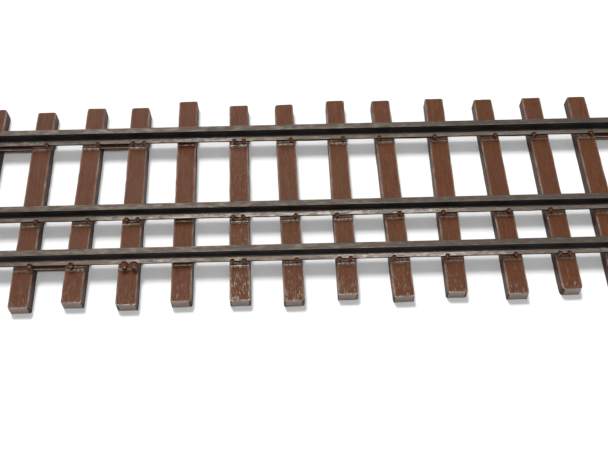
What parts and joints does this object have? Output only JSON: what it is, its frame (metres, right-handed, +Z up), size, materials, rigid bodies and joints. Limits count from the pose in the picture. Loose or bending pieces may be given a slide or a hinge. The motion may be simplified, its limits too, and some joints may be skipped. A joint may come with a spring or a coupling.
{
  "type": "model track section",
  "caption": "Straight section of dual-gauge model railway track: rails with a common side slide in moulded spikes on plastic tie strips, with folded rail joiners at one end.",
  "frame": {"origin": "middle of the whole section's box, on the plane of the ties' undersides", "axes": "+X along the rails towards the joiners, +Y towards the common rail, +Z up"},
  "size_m": [0.1538, 0.0295, 0.0036],
  "materials": {
    "tie_plastic": "moulded wood grain, red-brown",
    "rail_metal": "chemically weathered nickel silver, grey-bronze, with fine drawing lines",
    "joiner_metal": "bright rolled nickel silver sheet"
  },
  "bodies": {
    "tie_strip_a": {"tie_strip_a": "tie_plastic"},
    "tie_strip_b": {"tie_strip_b": "tie_plastic"},
    "common_rail": {"common_rail": "rail_metal"},
    "narrow_rail": {"narrow_rail": "rail_metal"},
    "standard_rail": {"standard_rail": "rail_metal"},
    "common_rail_joiner": {"common_rail_joiner": "joiner_metal"},
    "narrow_rail_joiner": {"narrow_rail_joiner": "joiner_metal"},
    "standard_rail_joiner": {"standard_rail_joiner": "joiner_metal"}
  },
  "joints": [
    {"name": "tie_strip_b_slide", "type": "slide", "parent": "tie_strip_a", "child": "tie_strip_b", "axis": [1, 0, 0], "range_m": [-0.0039, 0]},
    {"name": "common_rail_slide", "type": "slide", "parent": "tie_strip_a", "child": "common_rail", "axis": [1, 0, 0], "range_m": [0, 0.006]},
    {"name": "narrow_rail_slide", "type": "slide", "parent": "tie_strip_a", "child": "narrow_rail", "axis": [1, 0, 0], "range_m": [0, 0.006]},
    {"name": "standard_rail_slide", "type": "slide", "parent": "tie_strip_a", "child": "standard_rail", "axis": [1, 0, 0], "range_m": [0, 0.006]},
    {"name": "common_joiner_slide", "type": "slide", "parent": "common_rail", "child": "common_rail_joiner", "axis": [1, 0, 0], "range_m": [-0.0038, 0.0034]},
    {"name": "narrow_joiner_slide", "type": "slide", "parent": "narrow_rail", "child": "narrow_rail_joiner", "axis": [1, 0, 0], "range_m": [-0.0038, 0.0034]},
    {"name": "standard_joiner_slide", "type": "slide", "parent": "standard_rail", "child": "standard_rail_joiner", "axis": [1, 0, 0], "range_m": [-0.0038, 0.0034]}
  ]
}
